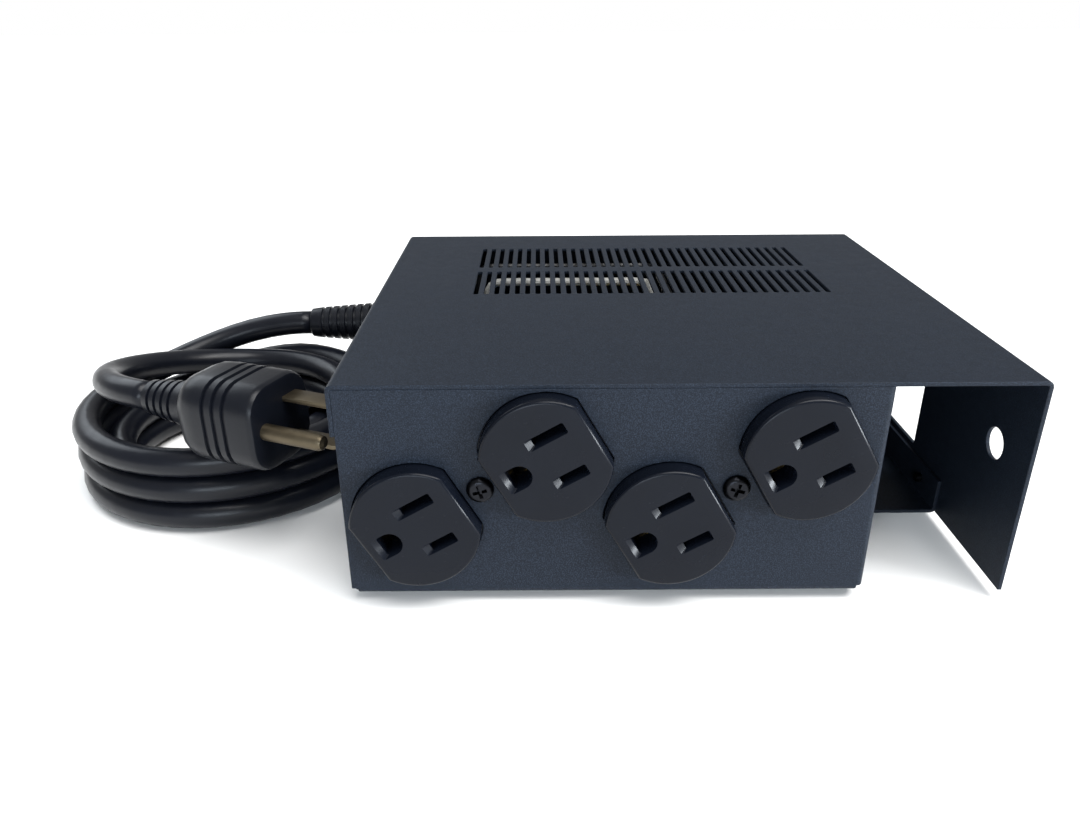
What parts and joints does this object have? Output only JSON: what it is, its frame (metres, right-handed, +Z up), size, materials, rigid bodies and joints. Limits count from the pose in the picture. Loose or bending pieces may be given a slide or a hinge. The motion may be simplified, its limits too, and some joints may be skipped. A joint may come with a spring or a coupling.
{
  "type": "corded surge protector box",
  "caption": "Black sheet steel surge protector box with tilted duplex outlets in its front panel, an open side bay with a rocker switch and reset button, a vented cover and a coiled power cord.",
  "frame": {"origin": "on the surface the feet stand on, under the middle of the case", "axes": "+X to the right, +Y to the rear, +Z up; the outlets face -Y"},
  "size_m": [0.2863, 0.16, 0.0646],
  "materials": {
    "powder_coat": "fine textured powder coat, low gloss",
    "zinc_steel": "zinc plated, satin",
    "black_screw": "black oxide, satin",
    "foot_rubber": "matte",
    "face_nylon": "satin moulded",
    "housing_plastic": "matte moulded",
    "contact_brass": "rolled strip, bright",
    "board_green": "solder mask over glass fibre laminate",
    "ferrite": "epoxy coated ferrite",
    "enamel_wire": "enamelled copper",
    "varistor_epoxy": "dipped epoxy",
    "film_yellow": "moulded case",
    "ceramic_blue": "dipped epoxy",
    "component_tan": "lacquered body",
    "fuse_glass": "clear with nickelled caps",
    "block_green": "moulded",
    "rocker_red": "polished moulded",
    "button_white": "polished moulded",
    "lamp_black": "matte moulded",
    "lamp_amber": "clear amber acrylic",
    "wire_black": "pvc insulation",
    "wire_white": "pvc insulation",
    "wire_green": "pvc insulation",
    "cord_pvc": "satin pvc jacket",
    "tie_plastic": "vinyl"
  },
  "bodies": {
    "case": {"base_chassis": "powder_coat", "bay_partition": "powder_coat", "partition_rivets": "zinc_steel", "cover": "powder_coat", "cover_screws": "black_screw", "rubber_feet": "foot_rubber", "outlet_left_face": "face_nylon", "outlet_left_strap": "zinc_steel", "outlet_left_base": "housing_plastic", "outlet_left_contacts": "contact_brass", "outlet_left_screw": "black_screw", "outlet_right_face": "face_nylon", "outlet_right_strap": "zinc_steel", "outlet_right_base": "housing_plastic", "outlet_right_contacts": "contact_brass", "outlet_right_screw": "black_screw", "filter_board": "board_green", "board_standoffs": "contact_brass", "board_screws": "zinc_steel", "choke_core": "ferrite", "choke_winding": "enamel_wire", "varistor_line_neutral": "varistor_epoxy", "varistor_line_ground": "varistor_epoxy", "varistor_neutral_ground": "varistor_epoxy", "thermal_fuse": "component_tan", "film_capacitor": "film_yellow", "ceramic_capacitors": "ceramic_blue", "bleed_resistor": "component_tan", "cartridge_fuse": "fuse_glass", "fuse_clips": "contact_brass", "terminal_block_out": "block_green", "terminal_block_in": "block_green", "terminal_screws": "zinc_steel", "switch_body": "housing_plastic", "breaker_body": "housing_plastic", "breaker_nut": "zinc_steel", "tab_terminals": "contact_brass", "lamp_body": "lamp_black", "lamp_lens": "lamp_amber", "ground_stud": "zinc_steel", "ground_nut": "zinc_steel", "ground_lugs": "contact_brass", "line_lead": "wire_black", "neutral_lead": "wire_white", "ground_lead": "wire_green", "breaker_jumper": "wire_black", "switch_leads": "wire_black", "outlet_line_leads": "wire_black", "outlet_neutral_leads": "wire_white", "outlet_ground_leads": "wire_green", "strain_relief": "cord_pvc", "cord_entry": "cord_pvc", "cord_lead": "cord_pvc", "cord_coil": "cord_pvc", "cord_tail": "cord_pvc", "cord_tie": "tie_plastic", "plug_body": "cord_pvc", "plug_blades": "contact_brass"},
    "rocker": {"switch_rocker": "rocker_red"},
    "reset": {"reset_button": "button_white"}
  },
  "joints": [
    {"name": "rocker_swing", "type": "hinge", "parent": "case", "child": "rocker", "pos_m": [0.0468, 0.0025, 0.034], "axis": [0, -1, 0], "range_deg": [0, 20]},
    {"name": "reset_travel", "type": "slide", "parent": "case", "child": "reset", "axis": [1, 0, 0], "range_m": [0, 0.003], "stiffness_N_per_m": 250}
  ]
}
